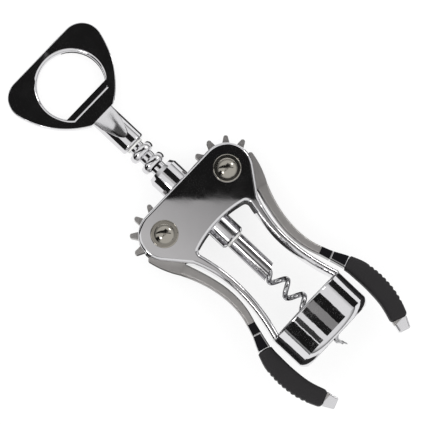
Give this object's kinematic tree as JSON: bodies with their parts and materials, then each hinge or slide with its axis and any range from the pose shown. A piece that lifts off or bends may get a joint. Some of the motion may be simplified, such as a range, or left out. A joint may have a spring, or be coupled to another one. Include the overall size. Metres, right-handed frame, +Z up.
{
  "type": "lever corkscrew",
  "caption": "Double-lever corkscrew: geared side levers lift a ringed rack and worm through a bottle bell; the turning handle is also a cap opener.",
  "frame": {"origin": "on the table, under the centre of the bounding box of the closed tool lying on its back", "axes": "+Z up; +Y along the table from the bell towards the handle; +X to the right-hand lever seen from above. The tool's own axis slopes down towards the handle by 6.48 degrees from +Y."},
  "size_m": [0.0678, 0.1952, 0.0424],
  "materials": {
    "frame_chrome": "polished chrome plate",
    "bell_chrome": "polished chrome plate",
    "liner_plastic": "moulded, lightly textured",
    "rack_chrome": "turned and plated",
    "handle_chrome": "polished chrome plate",
    "rivet_nickel": "polished nickel, slightly warm",
    "worm_steel": "drawn wire, bright",
    "thrust_plastic": "smooth, waxy",
    "lever_satin": "tumbled satin nickel",
    "ferrule_black": "gloss black",
    "grip_rubber": "soft matte, fine ribs on the outer edge"
  },
  "bodies": {
    "frame": {"body_frame": "frame_chrome", "guide_collar": "frame_chrome", "bell": "bell_chrome", "bell_liner": "liner_plastic", "left_pivot_rivet": "rivet_nickel", "right_pivot_rivet": "rivet_nickel", "left_front_washer": "rivet_nickel", "right_front_washer": "rivet_nickel", "left_rear_washer": "rivet_nickel", "right_rear_washer": "rivet_nickel"},
    "rack": {"rack_sleeve": "rack_chrome", "upper_thrust_washer": "thrust_plastic", "lower_thrust_washer": "thrust_plastic"},
    "spindle": {"opener_plate": "handle_chrome", "neck": "handle_chrome", "spindle_rod": "worm_steel", "worm_socket": "rack_chrome", "worm": "worm_steel"},
    "left_lever": {"left_lever": "lever_satin", "left_ferrule": "ferrule_black", "left_grip": "grip_rubber"},
    "right_lever": {"right_lever": "lever_satin", "right_ferrule": "ferrule_black", "right_grip": "grip_rubber"}
  },
  "joints": [
    {"name": "rack_slide", "type": "slide", "parent": "frame", "child": "rack", "axis": [0, -0.9936, 0.1129], "range_m": [0, 0.0287]},
    {"name": "handle_spin", "type": "hinge", "parent": "rack", "child": "spindle", "pos_m": [0, 0.00563, 0.01297], "axis": [0, -0.9936, 0.1129], "continuous": true},
    {"name": "right_lever_pivot", "type": "hinge", "parent": "frame", "child": "right_lever", "pos_m": [0.0195, 0.00563, 0.01297], "axis": [0, 0.1129, 0.9936], "range_deg": [0, 135]},
    {"name": "left_lever_pivot", "type": "hinge", "parent": "frame", "child": "left_lever", "pos_m": [-0.0195, 0.00563, 0.01297], "axis": [0, -0.1129, -0.9936], "range_deg": [0, 135]}
  ],
  "couplings": [
    {"joint": "right_lever_pivot", "follows": "rack_slide", "rad_per_m": 82.057},
    {"joint": "left_lever_pivot", "follows": "rack_slide", "rad_per_m": 82.057}
  ]
}
